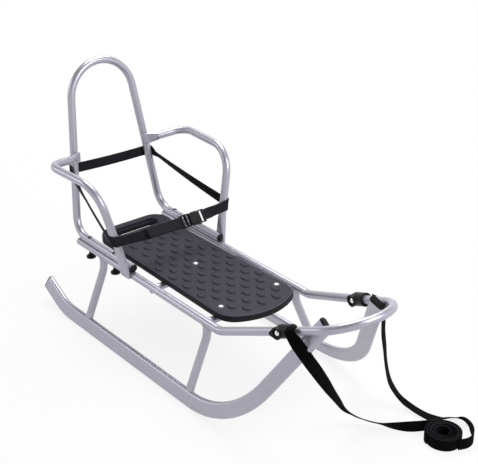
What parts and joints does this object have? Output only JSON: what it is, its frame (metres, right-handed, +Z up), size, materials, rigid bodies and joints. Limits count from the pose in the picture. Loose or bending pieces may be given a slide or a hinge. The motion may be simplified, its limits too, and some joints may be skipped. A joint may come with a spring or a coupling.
{
  "type": "sled",
  "caption": "Tubular metal child's sled with flat-oval runners, a dark plastic seat, a removable tube backrest with armrests and belt, and a webbing tow strap.",
  "frame": {"origin": "on the ground, below the middle of the sled's box without its tow strap", "axes": "+X forward, towards the bow, +Y to the rider's left, +Z up"},
  "size_m": [1.0509, 0.414, 0.5799],
  "materials": {
    "silver_paint": "silver-grey powder coat, slightly violet, semi-gloss",
    "black_plastic": "black moulded plastic",
    "seat_plastic": "charcoal moulded plastic, fine grain",
    "zinc_steel": "bright zinc-plated steel",
    "webbing": "black woven polyester webbing"
  },
  "bodies": {
    "root": {"frame_tube": "silver_paint", "rail_plugs": "black_plastic", "runner_right": "silver_paint", "runner_left": "silver_paint", "runner_plugs": "black_plastic", "leg_front_right": "silver_paint", "leg_front_left": "silver_paint", "leg_rear_right": "silver_paint", "leg_rear_left": "silver_paint", "crossbar_front": "silver_paint", "crossbar_middle": "silver_paint", "crossbar_rear": "silver_paint", "seat": "seat_plastic", "seat_screws": "zinc_steel", "backrest_hoop": "silver_paint", "backrest_plugs": "black_plastic", "backrest_bolts": "black_plastic", "backrest_knobs": "black_plastic", "armrest_right": "silver_paint", "armrest_left": "silver_paint", "belt_webbing": "webbing", "belt_buckle": "black_plastic", "tow_clamp_right": "black_plastic", "tow_clamp_left": "black_plastic", "tow_clamp_bolts": "zinc_steel", "tow_strap_right": "webbing", "tow_strap_left": "webbing", "tow_strap_coil": "webbing"}
  },
  "joints": []
}
